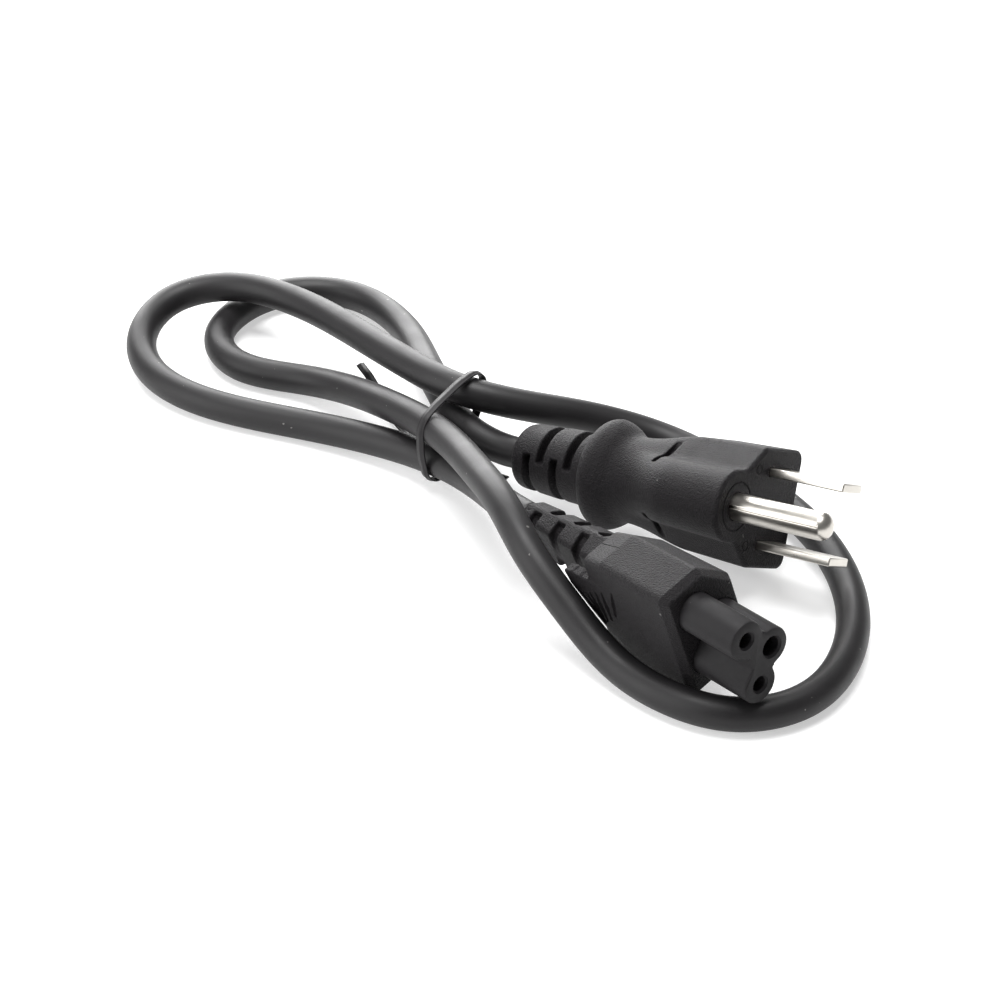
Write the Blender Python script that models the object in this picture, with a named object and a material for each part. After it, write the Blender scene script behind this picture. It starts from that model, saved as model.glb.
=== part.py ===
"""Short mains lead, folded and held by a tie: grounded plug, three-core cord, three-lobe connector.

All sizes are in metres. The lead lies on a level surface at z = 0. The plug and the connector are each
modelled along their own X axis, with their outer end at X = 0, and are placed by an empty.
"""
import math

import bmesh
import bpy
import numpy as np
from mathutils import Matrix, Vector

# Cord
cord_diameter = 0.0058
touch_gap = 0.0003
cord_samples = 80
cord_sides_level = 3
cord_lead_out = 0.004
bend_weight = 0.012

# Plug contacts
blade_spacing = 0.0127
blade_width = 0.00635
blade_thickness = 0.0015
blade_length = 0.0156
blade_root = 0.0050
blade_chamfer = 0.0010
blade_tip_bevel = 0.0003
pin_diameter = 0.0048
pin_length = 0.0187
pin_root = 0.0050
pin_offset = 0.0119
pin_slit_width = 0.0005
pin_slit_depth = 0.0013
pin_slit_run = 0.0172
pin_tip_share = 0.8
pin_tip_steps = 6
pin_sides = 32

# Plug body, measured from the line between the blades
face_half_width = 0.0105
face_base = 0.0073
face_shoulder = 0.0050
face_corner = 0.0018
shoulder_corner = 0.0022
lobe_radius_at_pin = 0.0063
lobe_foot_height = 0.0100
lobe_foot = 0.0028
full_round = 0.98
face_edge = 0.0005
block_draft = 0.0005
plug_axis_height = 0.0048
block_length = 0.0120
waist_from_face = 0.0252
waist_half_width = 0.0077
waist_half_height = 0.0077
saddle_rings = 9
collar_stations = (
    (0.0262, 0.0079, 0.0079),
    (0.0271, 0.0084, 0.0083),
    (0.0281, 0.0091, 0.0089),
    (0.0291, 0.0096, 0.0093),
    (0.0301, 0.0099, 0.0095),
    (0.0310, 0.0098, 0.0094),
    (0.0318, 0.0094, 0.0090),
    (0.0324, 0.0087, 0.0084),
    (0.0329, 0.0078, 0.0076),
    (0.0332, 0.0071, 0.0070),
)
relief_from_face = 0.0334
relief_root_radius = 0.0067
relief_mid_radius = 0.0064
relief_tip_radius = 0.0059
relief_tip_round = 0.0014
plug_length = 0.0493
plug_slots = ((0.0360, 0), (0.0391, 180), (0.0422, 0), (0.0453, 180))
plug_slot_width = 0.0017
plug_slot_depth = 0.0023
plug_slot_reach = math.radians(97)
slot_steps = 18
notch_width = 0.0012
notch_depth = 0.0013
notch_radius = 0.0060
notch_from_face = 0.0168
notch_bearing = math.radians(35)

# Connector contacts and nose
contact_spacing = 0.0100
earth_offset = 0.0042
lobe_radius = 0.0034
lobe_blend = 0.00035
lobe_middle_share = 0.36
web_share = 0.8
nose_length = 0.0120
nose_root = 0.0050
nose_edge = 0.0004
nose_sides = 72
live_mouth_radius = 0.00135
earth_mouth_radius = 0.00175
mouth_depth = 0.0020
chamber_depth = 0.0125
sleeve_wall = 0.0004
sleeve_length = 0.0090
live_chamber_radius = 0.0019
earth_chamber_radius = 0.0023
bore_sides = 24

# Connector body, measured from the line between the two live contacts
rim_half_width = 0.0110
rim_base = 0.0051
rim_shoulder = 0.0037
rim_top = 0.0092
rim_top_half_width = 0.0052
rim_corner = 0.0014
rim_bevel = 0.0009
rim_bevel_run = 0.0016
housing_from_nose = 0.0270
housing_half_width = 0.0104
housing_base = 0.0049
housing_shoulder = 0.0036
housing_top = 0.0088
housing_top_half_width = 0.0048
neck_from_nose = 0.0334
neck_half_width = 0.0088
neck_base = 0.0043
neck_shoulder = 0.0034
neck_top = 0.0076
neck_top_half_width = 0.0040
neck_corner = 0.0012
connector_axis_height = 0.0022
tail_from_nose = 0.0341
tail_root_half_width = 0.0069
tail_root_half_height = 0.0050
tail_tip_half_width = 0.0040
tail_tip_half_height = 0.0037
tail_tip_round = 0.0010
connector_length = 0.0570
tail_slots = (
    (0.0372, 90), (0.0404, -90), (0.0436, 90), (0.0468, -90), (0.0500, 90), (0.0532, -90),
)
tail_slot_width = 0.0021
tail_slot_depth = 0.0014
tail_slot_reach = math.radians(84)
slot_overshoot = 0.0030
corner_steps = 5

# Places: the point on the axis at the outer face, then bearing, rise and roll in degrees
plug_place = (0.0150, 0.0098, 0.01326)
plug_bearing, plug_rise, plug_roll = -36.7, 8.8, 61.4
connector_place = (0.0083, -0.0372, 0.0149)
connector_bearing, connector_rise, connector_roll = -50.5, 3.5, -72.4

# Route of the cord's centre line between its two ends, as it lies folded
cord_route = (
    (-0.0385, 0.0453, 0.0084), (-0.0421, 0.0549, 0.0084), (-0.0456, 0.0693, 0.0068),
    (-0.0527, 0.0935, 0.0036), (-0.0629, 0.1045, 0.0030), (-0.0749, 0.1049, 0.0030),
    (-0.0841, 0.0963, 0.0030), (-0.0866, 0.0852, 0.0030), (-0.0818, 0.0760, 0.0030),
    (-0.0699, 0.0702, 0.0034), (-0.0526, 0.0511, 0.0094), (-0.0431, 0.0364, 0.0126),
    (-0.0356, 0.0177, 0.0158), (-0.0310, 0.0044, 0.0170), (-0.0270, -0.0053, 0.0146),
    (-0.0205, -0.0136, 0.0090), (-0.0137, -0.0211, 0.0042), (-0.0049, -0.0299, 0.0030),
    (0.0061, -0.0348, 0.0030), (0.0168, -0.0317, 0.0030), (0.0248, -0.0207, 0.0030),
    (0.0278, -0.0070, 0.0030), (0.0267, 0.0074, 0.0030), (0.0209, 0.0234, 0.0030),
    (0.0100, 0.0383, 0.0030), (-0.0024, 0.0473, 0.0046), (-0.0171, 0.0475, 0.0092),
    (-0.0294, 0.0461, 0.0126), (-0.0380, 0.0474, 0.0144), (-0.0469, 0.0556, 0.0142),
    (-0.0600, 0.0740, 0.0120), (-0.0738, 0.0901, 0.0102), (-0.0858, 0.0965, 0.0090),
    (-0.0961, 0.0951, 0.0070), (-0.1013, 0.0854, 0.0048), (-0.0989, 0.0740, 0.0034),
    (-0.0892, 0.0637, 0.0030), (-0.0691, 0.0546, 0.0030), (-0.0510, 0.0447, 0.0043),
    (-0.0408, 0.0353, 0.0057), (-0.0346, 0.0251, 0.0077),
)

# Tie: a coated wire ribbon that goes once round the four strands
tie_width = 0.0018
tie_thickness = 0.0008
tie_place = (-0.0398, 0.0436, 0.0)
tie_bearing = -45.0
tie_pitch = 0.0026
tie_clearance = 0.0009
tie_steps = 48
tie_first = math.radians(-78)
tie_turn = math.radians(336)
tie_left_tail = ((-0.0584, 0.0716, 0.0014), (-0.0546, 0.0631, 0.0011), (-0.0484, 0.0527, 0.0010))
tie_right_tail = ((-0.0328, 0.0391, 0.0016), (-0.0308, 0.0366, 0.0024))


def material(name, color, roughness, metallic):
    made = bpy.data.materials.new(name)
    made.use_nodes = True
    shader = made.node_tree.nodes["Principled BSDF"]
    shader.inputs["Base Color"].default_value = (*color, 1.0)
    shader.inputs["Roughness"].default_value = roughness
    shader.inputs["Metallic"].default_value = metallic
    return made


def body_from(name, build, surface, parent=None, smooth=True):
    """An object from a bmesh, with its faces pointing out."""
    bmesh.ops.recalc_face_normals(build, faces=build.faces)
    mesh = bpy.data.meshes.new(name)
    build.to_mesh(mesh)
    build.free()
    if smooth:
        mesh.shade_smooth()
        mesh.set_sharp_from_angle(angle=math.radians(35))
    made = bpy.data.objects.new(name, mesh)
    bpy.context.scene.collection.objects.link(made)
    if surface:
        made.data.materials.append(surface)
    if parent:
        made.parent = parent
    return made


def skin(build, rings, closed=False):
    """Quads between rings of equal count, with a cap at each end unless the rings close on themselves."""
    loops = [[build.verts.new(point) for point in ring] for ring in rings]
    count = len(loops[0])
    pairs = list(zip(loops, loops[1:]))
    if closed:
        pairs.append((loops[-1], loops[0]))
    for here, ahead in pairs:
        for i in range(count):
            j = (i + 1) % count
            build.faces.new((here[i], here[j], ahead[j], ahead[i]))
    if not closed:
        build.faces.new(loops[0])
        build.faces.new(loops[-1])


def rounded(corners, steps):
    """Outline of (a, b, radius) corners, each turned into an arc."""
    outline = []
    for index, (a, b, radius) in enumerate(corners):
        here = np.array((a, b))
        back = np.array(corners[index - 1][:2]) - here
        ahead = np.array(corners[(index + 1) % len(corners)][:2]) - here
        back = back / np.linalg.norm(back)
        ahead = ahead / np.linalg.norm(ahead)
        half = math.acos(float(back @ ahead)) / 2
        start = here + back * radius / math.tan(half)
        middle = (back + ahead) / np.linalg.norm(back + ahead)
        centre = here + middle * radius / math.sin(half)
        spoke = start - centre
        turn = math.pi - 2 * half
        if back[0] * ahead[1] - back[1] * ahead[0] > 0:
            turn = -turn
        for step in range(steps + 1):
            angle = turn * step / steps
            c, s = math.cos(angle), math.sin(angle)
            outline.append(centre + np.array((c * spoke[0] - s * spoke[1], s * spoke[0] + c * spoke[1])))
    return outline


def inset(outline, amount):
    """Outline moved inwards along its own normals."""
    moved = []
    for index, point in enumerate(outline):
        along = outline[(index + 1) % len(outline)] - outline[index - 1]
        along = along / np.linalg.norm(along)
        moved.append(point + amount * np.array((-along[1], along[0])))
    return moved


def oval_under(outline, half_width, half_height, centre_height):
    """Points of an oval at the same polar angles as an outline's points."""
    points = []
    for a, b in outline:
        angle = math.atan2(b - centre_height, a)
        c, s = math.cos(angle), math.sin(angle)
        reach = 1 / math.hypot(c / half_width, s / half_height)
        points.append(np.array((reach * c, centre_height + reach * s)))
    return points


def blend(first, second, share):
    return [a * (1 - share) + b * share for a, b in zip(first, second)]


def ring_at(distance, outline):
    return [(-distance, a, b) for a, b in outline]


def turned(build, profile, sides, centre=(0.0, 0.0)):
    """A solid turned about a line along X from (x, radius) pairs."""
    rings = []
    for x, radius in profile:
        ring = []
        for i in range(sides):
            angle = 2 * math.pi * i / sides
            ring.append((x, centre[0] + radius * math.cos(angle), centre[1] + radius * math.sin(angle)))
        rings.append(ring)
    skin(build, rings)


def arc_cutter(build, distance, facing, half_reach, width, half_width, half_height, depth, centre_height):
    """A sector of a ring, which cuts one strain relief slot; its middle faces an angle from +Y to +Z."""
    rings = []
    for step in range(slot_steps + 1):
        angle = math.radians(facing) + half_reach * (2 * step / slot_steps - 1)
        c, s = math.cos(angle), math.sin(angle)
        inner = ((half_width - depth) * c, centre_height + (half_height - depth) * s)
        outer = ((half_width + slot_overshoot) * c, centre_height + (half_height + slot_overshoot) * s)
        front, rear = -distance + width / 2, -distance - width / 2
        rings.append(((front, *inner), (front, *outer), (rear, *outer), (rear, *inner)))
    skin(build, rings)


def block(build, low, high):
    rings = []
    for x in (low[0], high[0]):
        rings.append(((x, low[1], low[2]), (x, high[1], low[2]), (x, high[1], high[2]), (x, low[1], high[2])))
    skin(build, rings)


def cut(target, build, name, parent):
    """Take a bmesh's solids out of an object."""
    cutter = body_from(name, build, None, parent, smooth=False)
    cutter.hide_render = True
    cutter.display_type = "WIRE"
    modifier = target.modifiers.new(name, "BOOLEAN")
    modifier.operation = "DIFFERENCE"
    modifier.solver = "EXACT"
    modifier.object = cutter


def frame_at(name, place, bearing, rise, roll):
    made = bpy.data.objects.new(name, None)
    made.rotation_euler = (math.radians(roll), math.radians(-rise), math.radians(bearing))
    made.location = place
    bpy.context.scene.collection.objects.link(made)
    bpy.context.view_layer.update()
    return made


for leftover in list(bpy.data.objects):
    bpy.data.objects.remove(leftover, do_unlink=True)

black_vinyl = material("black_vinyl", (0.022, 0.021, 0.023), 0.55, 0.0)
moulded_vinyl = material("moulded_vinyl", (0.020, 0.019, 0.021), 0.62, 0.0)
nose_plastic = material("nose_plastic", (0.018, 0.018, 0.020), 0.45, 0.0)
tie_plastic = material("tie_plastic", (0.018, 0.018, 0.018), 0.5, 0.0)
nickel = material("nickel", (0.72, 0.70, 0.66), 0.22, 1.0)
brass = material("brass", (0.62, 0.44, 0.18), 0.35, 1.0)

# Plug body
plug_frame = frame_at("plug_frame", plug_place, plug_bearing, plug_rise, plug_roll)
pin_lobe_top = pin_offset + lobe_radius_at_pin
face_outline = rounded((
    (-face_half_width, -face_base, face_corner),
    (face_half_width, -face_base, face_corner),
    (face_half_width, face_shoulder, shoulder_corner),
    (lobe_radius_at_pin, lobe_foot_height, lobe_foot),
    (lobe_radius_at_pin, pin_lobe_top, lobe_radius_at_pin * full_round),
    (-lobe_radius_at_pin, pin_lobe_top, lobe_radius_at_pin * full_round),
    (-lobe_radius_at_pin, lobe_foot_height, lobe_foot),
    (-face_half_width, face_shoulder, shoulder_corner),
), corner_steps)
block_outline = inset(face_outline, block_draft)
waist_outline = oval_under(face_outline, waist_half_width, waist_half_height, plug_axis_height)


def plug_outline(distance):
    share = min(1.0, max(0.0, (distance - block_length) / (waist_from_face - block_length)))
    return blend(block_outline, waist_outline, share * share * (3 - 2 * share))


plug_rings = [ring_at(0.0, inset(face_outline, face_edge)), ring_at(face_edge, face_outline)]
for step in range(saddle_rings + 1):
    distance = block_length + (waist_from_face - block_length) * step / saddle_rings
    plug_rings.append(ring_at(distance, plug_outline(distance)))
for distance, half_width, half_height in collar_stations:
    plug_rings.append(ring_at(distance, oval_under(face_outline, half_width, half_height, plug_axis_height)))
relief_end = plug_length - relief_tip_round
relief_middle = (relief_from_face + relief_end) / 2
for distance, radius in (
    (relief_from_face, relief_root_radius),
    (relief_middle, relief_mid_radius),
    (relief_end, relief_tip_radius),
    (plug_length - relief_tip_round / 3, relief_tip_radius - relief_tip_round / 3),
    (plug_length, relief_tip_radius - relief_tip_round),
):
    plug_rings.append(ring_at(distance, oval_under(face_outline, radius, radius, plug_axis_height)))
shell = bmesh.new()
skin(shell, plug_rings)
plug_body = body_from("plug_body", shell, moulded_vinyl, plug_frame)

pockets = bmesh.new()
for side in (-1, 1):
    middle = side * blade_spacing / 2
    half_thickness = blade_thickness / 2 + touch_gap
    half_width = blade_width / 2 + touch_gap
    block(
        pockets,
        (-blade_root - touch_gap, middle - half_thickness, -half_width),
        (slot_overshoot, middle + half_thickness, half_width),
    )
pocket_radius = pin_diameter / 2 + touch_gap
turned(pockets, ((-pin_root - touch_gap, pocket_radius), (slot_overshoot, pocket_radius)), pin_sides,
       (0.0, pin_offset))
cut(plug_body, pockets, "plug_pockets", plug_frame)

slots = bmesh.new()
for distance, facing in plug_slots:
    share = (distance - relief_from_face) / (relief_end - relief_from_face)
    radius = relief_root_radius + (relief_tip_radius - relief_root_radius) * share
    arc_cutter(
        slots, distance, facing, plug_slot_reach, plug_slot_width, radius, radius, plug_slot_depth,
        plug_axis_height)
cut(plug_body, slots, "plug_slots", plug_frame)

notches = bmesh.new()
for side in (-1, 1):
    bearing = (side * math.cos(notch_bearing), math.sin(notch_bearing))
    nearest = max(plug_outline(notch_from_face), key=lambda p: (
        (p[0] * bearing[0] + (p[1] - plug_axis_height) * bearing[1])
        / math.hypot(p[0], p[1] - plug_axis_height)
    ))
    surface = math.hypot(nearest[0], nearest[1] - plug_axis_height)
    away = surface + notch_radius - notch_depth
    rear, front = -notch_from_face - notch_width / 2, -notch_from_face + notch_width / 2
    turned(
        notches, ((rear, notch_radius), (front, notch_radius)), pin_sides,
        (away * bearing[0], plug_axis_height + away * bearing[1]),
    )
cut(plug_body, notches, "plug_notches", plug_frame)

# Plug blades and earth pin
blade_half = blade_thickness / 2
blade_stations = (
    (-blade_root, blade_half, blade_width / 2),
    (blade_length - blade_chamfer, blade_half, blade_width / 2),
    (blade_length, blade_half - blade_tip_bevel, blade_width / 2 - blade_chamfer),
)
for name, side in (("line_blade", 1), ("neutral_blade", -1)):
    metal = bmesh.new()
    middle = side * blade_spacing / 2
    skin(metal, [
        ((x, middle - a, -b), (x, middle + a, -b), (x, middle + a, b), (x, middle - a, b))
        for x, a, b in blade_stations
    ])
    body_from(name, metal, nickel, plug_frame, smooth=False)

metal = bmesh.new()
pin_radius = pin_diameter / 2
pin_profile = [(-pin_root, pin_radius)]
for step in range(pin_tip_steps):
    angle = math.pi / 2 * step / pin_tip_steps
    pin_profile.append((
        pin_length - pin_radius * pin_tip_share * (1 - math.sin(angle)),
        pin_radius * math.cos(angle),
    ))
turned(metal, pin_profile, pin_sides, (0.0, pin_offset))
ground_pin = body_from("ground_pin", metal, nickel, plug_frame)
slit = bmesh.new()
block(
    slit,
    (-pin_root / 2, -pin_slit_width / 2, pin_offset + pin_radius - pin_slit_depth),
    (pin_slit_run, pin_slit_width / 2, pin_offset + pin_radius + slot_overshoot),
)
cut(ground_pin, slit, "pin_slit", plug_frame)

# Connector nose: three joined lobes with a stepped bore in each
connector_frame = frame_at(
    "connector_frame", connector_place, connector_bearing, connector_rise, connector_roll)
contacts = (
    ("line_contact", (-contact_spacing / 2, 0.0), live_mouth_radius, live_chamber_radius),
    ("neutral_contact", (contact_spacing / 2, 0.0), live_mouth_radius, live_chamber_radius),
    ("earth_contact", (0.0, earth_offset), earth_mouth_radius, earth_chamber_radius),
)
lobe_middle = earth_offset * lobe_middle_share


def lobe_field(a, b):
    """Distance outside the three lobes, with their valleys filled a little."""
    total = 0.0
    for _, (y, z), _, _ in contacts:
        total += math.exp(-(math.hypot(a - y, b - z) - lobe_radius) / lobe_blend)
    web = max(abs(a) - contact_spacing / 2, abs(b - lobe_middle) - lobe_radius * web_share)
    total += math.exp(-web / lobe_blend)
    return -lobe_blend * math.log(total)


def lobes(grow):
    """Outline of the nose, grown by a distance, found along rays from its middle."""
    outline = []
    for i in range(nose_sides):
        angle = 2 * math.pi * (i + 0.5) / nose_sides
        c, s = math.cos(angle), math.sin(angle)
        near, far = 0.0, contact_spacing
        for _ in range(40):
            reach = (near + far) / 2
            if lobe_field(reach * c, lobe_middle + reach * s) < grow:
                near = reach
            else:
                far = reach
        outline.append(np.array((near * c, lobe_middle + near * s)))
    return outline


moulding = bmesh.new()
skin(moulding, [
    ring_at(0.0, lobes(-nose_edge)),
    ring_at(nose_edge, lobes(0.0)),
    ring_at(nose_length + nose_root, lobes(0.0)),
])
connector_nose = body_from("connector_nose", moulding, nose_plastic, connector_frame)
bores = bmesh.new()
for _, centre, mouth, chamber in contacts:
    turned(bores, (
        (slot_overshoot, mouth),
        (-mouth_depth, mouth),
        (-mouth_depth - (chamber - mouth), chamber),
        (-chamber_depth, chamber),
    ), bore_sides, centre)
cut(connector_nose, bores, "nose_bores", connector_frame)

for name, centre, mouth, chamber in contacts:
    sleeve = bmesh.new()
    outer = chamber - touch_gap
    rear = -chamber_depth + touch_gap
    front = rear + sleeve_length
    inner = outer - sleeve_wall
    rings = []
    for x, radius in ((rear, outer), (front, outer), (front, inner), (rear, inner)):
        rings.append([
            (x, centre[0] + radius * math.cos(2 * math.pi * i / bore_sides),
             centre[1] + radius * math.sin(2 * math.pi * i / bore_sides))
            for i in range(bore_sides)
        ])
    skin(sleeve, rings, closed=True)
    body_from(name, sleeve, brass, connector_frame)

# Connector body: rim, housing, neck and strain relief
housing_outline = rounded((
    (-rim_half_width, -rim_base, rim_corner),
    (rim_half_width, -rim_base, rim_corner),
    (rim_half_width, rim_shoulder, rim_corner),
    (rim_top_half_width, rim_top, rim_corner),
    (-rim_top_half_width, rim_top, rim_corner),
    (-rim_half_width, rim_shoulder, rim_corner),
), corner_steps)
housing_rear_outline = rounded((
    (-housing_half_width, -housing_base, rim_corner),
    (housing_half_width, -housing_base, rim_corner),
    (housing_half_width, housing_shoulder, rim_corner),
    (housing_top_half_width, housing_top, rim_corner),
    (-housing_top_half_width, housing_top, rim_corner),
    (-housing_half_width, housing_shoulder, rim_corner),
), corner_steps)
neck_outline = rounded((
    (-neck_half_width, -neck_base, neck_corner),
    (neck_half_width, -neck_base, neck_corner),
    (neck_half_width, neck_shoulder, neck_corner),
    (neck_top_half_width, neck_top, neck_corner),
    (-neck_top_half_width, neck_top, neck_corner),
    (-neck_half_width, neck_shoulder, neck_corner),
), corner_steps)
tail_end = connector_length - tail_tip_round
connector_rings = [
    ring_at(nose_length, inset(housing_outline, rim_bevel)),
    ring_at(nose_length + rim_bevel_run, housing_outline),
    ring_at(housing_from_nose, housing_rear_outline),
    ring_at(neck_from_nose, neck_outline),
]
for distance, half_width, half_height in (
    (tail_from_nose, tail_root_half_width, tail_root_half_height),
    (tail_end, tail_tip_half_width, tail_tip_half_height),
    (connector_length, tail_tip_half_width - tail_tip_round, tail_tip_half_height - tail_tip_round),
):
    oval = oval_under(neck_outline, half_width, half_height, connector_axis_height)
    connector_rings.append(ring_at(distance, oval))
moulding = bmesh.new()
skin(moulding, connector_rings)
connector_body = body_from("connector_body", moulding, moulded_vinyl, connector_frame)

seat = bmesh.new()
skin(seat, [
    ring_at(nose_length - slot_overshoot, lobes(touch_gap)),
    ring_at(nose_length + nose_root + touch_gap, lobes(touch_gap)),
])
cut(connector_body, seat, "nose_seat", connector_frame)

slots = bmesh.new()
for distance, facing in tail_slots:
    share = (distance - tail_from_nose) / (tail_end - tail_from_nose)
    half_width = tail_root_half_width + (tail_tip_half_width - tail_root_half_width) * share
    half_height = tail_root_half_height + (tail_tip_half_height - tail_root_half_height) * share
    arc_cutter(
        slots, distance, facing, tail_slot_reach, tail_slot_width, half_width, half_height, tail_slot_depth,
        connector_axis_height)
cut(connector_body, slots, "tail_slots", connector_frame)


# Cord, from the plug's relief to the connector's
def axis_point(frame, distance, height):
    return np.array(frame.matrix_world @ Vector((-distance, 0.0, height)))


plug_exit = plug_length + touch_gap
connector_exit = connector_length + touch_gap
centre_line = np.array((
    axis_point(plug_frame, plug_exit, plug_axis_height),
    axis_point(plug_frame, plug_exit + cord_lead_out, plug_axis_height),
    *cord_route,
    axis_point(connector_frame, connector_exit + cord_lead_out, connector_axis_height),
    axis_point(connector_frame, connector_exit, connector_axis_height),
))


def smooth_through(points, positions=None):
    """Natural cubic spline through points; positions run from 0 to 1 along it."""
    knots = np.concatenate(((0.0,), np.cumsum(np.linalg.norm(np.diff(points, axis=0), axis=1))))
    spans = np.diff(knots)
    count = len(points)
    system = np.eye(count)
    target = np.zeros((count, 3))
    for i in range(1, count - 1):
        system[i, i - 1:i + 2] = spans[i - 1], 2 * (spans[i - 1] + spans[i]), spans[i]
        target[i] = 6 * ((points[i + 1] - points[i]) / spans[i] - (points[i] - points[i - 1]) / spans[i - 1])
    bend = np.linalg.solve(system, target)
    where = np.asarray(positions) * knots[-1]
    i = np.clip(np.searchsorted(knots, where, side="right") - 1, 0, count - 2)
    span = spans[i][:, None]
    left = (knots[i + 1] - where)[:, None]
    right = (where - knots[i])[:, None]
    return (
        (bend[i] * left ** 3 + bend[i + 1] * right ** 3) / (6 * span)
        + (points[i] / span - bend[i] * span / 6) * left
        + (points[i + 1] / span - bend[i + 1] * span / 6) * right
    )


fine_positions = np.linspace(0.0, 1.0, 4001)
fine_line = smooth_through(centre_line, fine_positions)
steps = np.diff(fine_line, axis=0)
lengths = np.linalg.norm(steps, axis=1)
headings = steps / lengths[:, None]
turns = np.linalg.norm(np.diff(headings, axis=0), axis=1)
weights = lengths.copy()
weights[1:] += bend_weight * turns
reached = np.concatenate(((0.0,), np.cumsum(weights)))
spread = np.interp(np.linspace(0.0, reached[-1], cord_samples), reached, fine_positions)

cord_curve = bpy.data.curves.new("cord", "CURVE")
cord_curve.dimensions = "3D"
cord_curve.bevel_depth = cord_diameter / 2
cord_curve.bevel_resolution = cord_sides_level
cord_curve.use_fill_caps = True
spline = cord_curve.splines.new("POLY")
spline.points.add(cord_samples - 1)
for point, position in zip(spline.points, smooth_through(centre_line, spread)):
    point.co = (*position, 1.0)
cord = bpy.data.objects.new("cord", cord_curve)
cord_curve.materials.append(black_vinyl)
bpy.context.scene.collection.objects.link(cord)

# Tie: the strands that cross its plane give the shape that it wraps
tie_turning = Matrix.Rotation(math.radians(tie_bearing), 3, "Z")
along_bundle = np.array(tie_turning @ Vector((1.0, 0.0, 0.0)))
across_bundle = np.array(tie_turning @ Vector((0.0, 1.0, 0.0)))
tie_origin = np.array(tie_place)
offsets = (fine_line - tie_origin) @ along_bundle
rim_points = []
for i in np.flatnonzero(offsets[:-1] * offsets[1:] < 0):
    crossing = fine_line[i] - tie_origin
    slant = abs(headings[i] @ along_bundle)
    reach = cord_diameter / 2 / slant + tie_clearance + tie_thickness / 2
    for step in range(tie_steps):
        angle = 2 * math.pi * step / tie_steps
        rim_points.append((
            crossing @ across_bundle + reach * math.cos(angle),
            crossing[2] + reach * math.sin(angle),
        ))
rim_points = np.array(rim_points)
wrap_middle = (rim_points.max(axis=0) + rim_points.min(axis=0)) / 2
hull = bmesh.new()
for a, b in rim_points:
    hull.verts.new((a, b, 0.0))
wrap = bmesh.ops.convex_hull(hull, input=hull.verts)
edge_points = np.array([v.co[:2] for v in hull.verts if v in set(wrap["geom"])])
hull.free()


def wrap_reach(angle):
    """How far the wrapped outline lies from its middle at an angle."""
    heading = np.array((math.cos(angle), math.sin(angle)))
    ordered = sorted(edge_points - wrap_middle, key=lambda p: math.atan2(p[1], p[0]))
    best = 0.0
    for here, ahead in zip(ordered, ordered[1:] + ordered[:1]):
        span = ahead - here
        base = heading[0] * span[1] - heading[1] * span[0]
        if abs(base) < 1e-12:
            continue
        distance = (here[0] * span[1] - here[1] * span[0]) / base
        share = (here[0] * heading[1] - here[1] * heading[0]) / base
        if distance > 0 and -1e-9 <= share <= 1 + 1e-9:
            best = max(best, distance)
    return best


down = np.array((0.0, 0.0, -1.0))
path = []
facing = []
for point in tie_left_tail:
    path.append(np.array(point))
    facing.append(down)
for step in range(tie_steps + 1):
    share = step / tie_steps
    angle = tie_first + tie_turn * share
    reach = wrap_reach(angle)
    radial = across_bundle * math.cos(angle) + np.array((0.0, 0.0, math.sin(angle)))
    shift = along_bundle * tie_pitch * (share - 0.5)
    middle = tie_origin + across_bundle * wrap_middle[0] + np.array((0.0, 0.0, wrap_middle[1]))
    path.append(middle + radial * reach + shift)
    facing.append(radial)
for point in tie_right_tail:
    path.append(np.array(point))
    facing.append(down)

ribbon_rings = []
for i, point in enumerate(path):
    ahead = path[min(i + 1, len(path) - 1)] - path[max(i - 1, 0)]
    ahead = ahead / np.linalg.norm(ahead)
    side = np.cross(ahead, facing[i])
    side = side / np.linalg.norm(side) * tie_width / 2
    out = np.cross(side, ahead)
    out = out / np.linalg.norm(out) * tie_thickness / 2
    ribbon_rings.append([tuple(point + a * side + b * out) for a, b in ((-1, -1), (1, -1), (1, 1), (-1, 1))])
ribbon = bmesh.new()
skin(ribbon, ribbon_rings)
body_from("twist_tie", ribbon, tie_plastic)
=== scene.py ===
import math

import bmesh
import bpy
import numpy as np
from mathutils import Euler, Matrix, Vector


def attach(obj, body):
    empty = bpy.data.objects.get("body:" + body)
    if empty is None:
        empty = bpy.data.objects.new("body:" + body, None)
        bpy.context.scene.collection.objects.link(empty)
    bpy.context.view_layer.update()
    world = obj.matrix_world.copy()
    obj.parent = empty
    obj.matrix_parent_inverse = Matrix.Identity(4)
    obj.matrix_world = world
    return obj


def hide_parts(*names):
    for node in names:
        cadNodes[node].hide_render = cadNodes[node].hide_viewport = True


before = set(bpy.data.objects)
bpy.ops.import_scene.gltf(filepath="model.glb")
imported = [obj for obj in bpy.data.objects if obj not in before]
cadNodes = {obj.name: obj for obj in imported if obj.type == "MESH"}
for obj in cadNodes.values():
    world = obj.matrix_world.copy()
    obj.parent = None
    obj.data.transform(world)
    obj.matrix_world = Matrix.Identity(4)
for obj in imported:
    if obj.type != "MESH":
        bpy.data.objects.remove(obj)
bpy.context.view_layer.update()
print("frame loaded")


# camera at the photograph's angle, before anything else
shotSpec = {"place": (-0.0318, -0.4142, 0.2905), "tilt": 57.0, "lens": 106.2, "sensor": 36.0}
cameraData = bpy.data.cameras.new("camera")
cameraData.lens = shotSpec["lens"]
cameraData.sensor_width = shotSpec["sensor"]
cameraData.clip_start = 0.01
camera = bpy.data.objects.new("camera", cameraData)
camera.location = shotSpec["place"]
camera.rotation_euler = (math.radians(shotSpec["tilt"]), 0.0, 0.0)
bpy.context.scene.collection.objects.link(camera)
bpy.context.scene.camera = camera


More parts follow.
